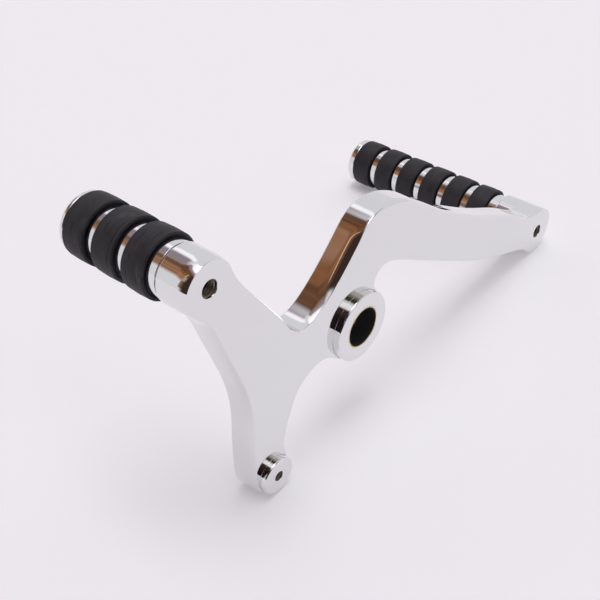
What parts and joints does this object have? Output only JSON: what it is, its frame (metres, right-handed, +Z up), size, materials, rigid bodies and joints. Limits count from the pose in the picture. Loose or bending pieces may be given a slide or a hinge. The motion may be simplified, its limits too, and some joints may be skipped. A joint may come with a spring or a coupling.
{
  "type": "heel-and-toe shift lever with rubber-ringed foot pegs",
  "caption": "Chromed motorcycle heel-and-toe shift lever: flat cranked plate with a bushed pivot, a linkage leg, and a short and a long rubber-ringed foot peg.",
  "frame": {"origin": "on the pivot axis, in the plane of the lever plate's front face", "axes": "+Y along both pegs, away from the plate's front face; +Z up as the lever stands on its leg and its long peg; +X from the pivot towards the long peg's side"},
  "size_m": [0.2663, 0.1257, 0.1377],
  "materials": {
    "lever_chrome": "mirror-polished chrome on machined billet aluminium",
    "peg_chrome": "mirror-polished chrome on turned aluminium",
    "ring_rubber": "matte moulded black rubber",
    "bush_bronze": "thin bronze bush with a dark dry liner",
    "stud_steel": "plain threaded steel"
  },
  "bodies": {
    "root": {"lever": "lever_chrome", "pivot_bush_front": "bush_bronze", "pivot_bush_rear": "bush_bronze", "short_peg_body": "peg_chrome", "short_peg_ring_1": "ring_rubber", "short_peg_ring_2": "ring_rubber", "short_peg_ring_3": "ring_rubber", "short_peg_end_cap": "peg_chrome", "short_peg_stud": "stud_steel", "long_peg_body": "peg_chrome", "long_peg_ring_1": "ring_rubber", "long_peg_ring_2": "ring_rubber", "long_peg_ring_3": "ring_rubber", "long_peg_ring_4": "ring_rubber", "long_peg_ring_5": "ring_rubber", "long_peg_ring_6": "ring_rubber", "long_peg_end_cap": "peg_chrome", "long_peg_stud": "stud_steel"}
  },
  "joints": []
}
